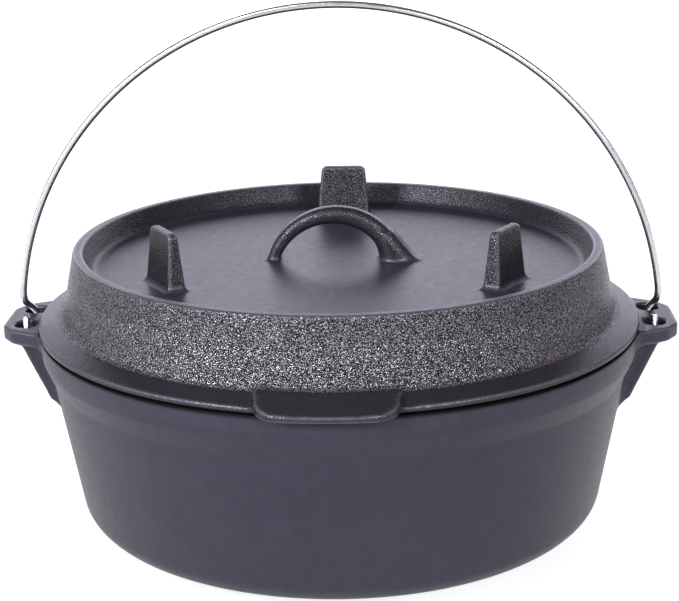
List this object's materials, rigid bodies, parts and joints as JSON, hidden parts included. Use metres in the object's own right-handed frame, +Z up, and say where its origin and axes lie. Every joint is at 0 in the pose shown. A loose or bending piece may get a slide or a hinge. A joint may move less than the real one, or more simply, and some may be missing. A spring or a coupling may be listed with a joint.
{
  "type": "cast iron dutch oven",
  "caption": "Flat-based cast iron camp dutch oven with a flanged lid that stands on legs as a griddle, a loop lid handle and a swinging wire bail.",
  "frame": {"origin": "centre of the pot's flat base, on the surface that it stands on", "axes": "+Z up along the pot's axis; +X through the centres of the two ears, towards the broad foot of the lid's loop handle; -Y towards the lid's lifting tab, which is the front"},
  "size_m": [0.3348, 0.307, 0.253],
  "materials": {
    "cast_iron": "as-cast, seasoned, satin",
    "steel_wire": "bright drawn and plated"
  },
  "bodies": {
    "pot": {"pot": "cast_iron"},
    "lid": {"lid": "cast_iron"},
    "bail": {"bail": "steel_wire"}
  },
  "joints": [
    {"name": "lid_lift", "type": "slide", "parent": "pot", "child": "lid", "axis": [0, 0, 1], "range_m": [0, 0.03]},
    {"name": "bail_swing", "type": "hinge", "parent": "pot", "child": "bail", "pos_m": [0, 0, 0.091], "axis": [1, 0, 0], "range_deg": [-64, 64]}
  ]
}
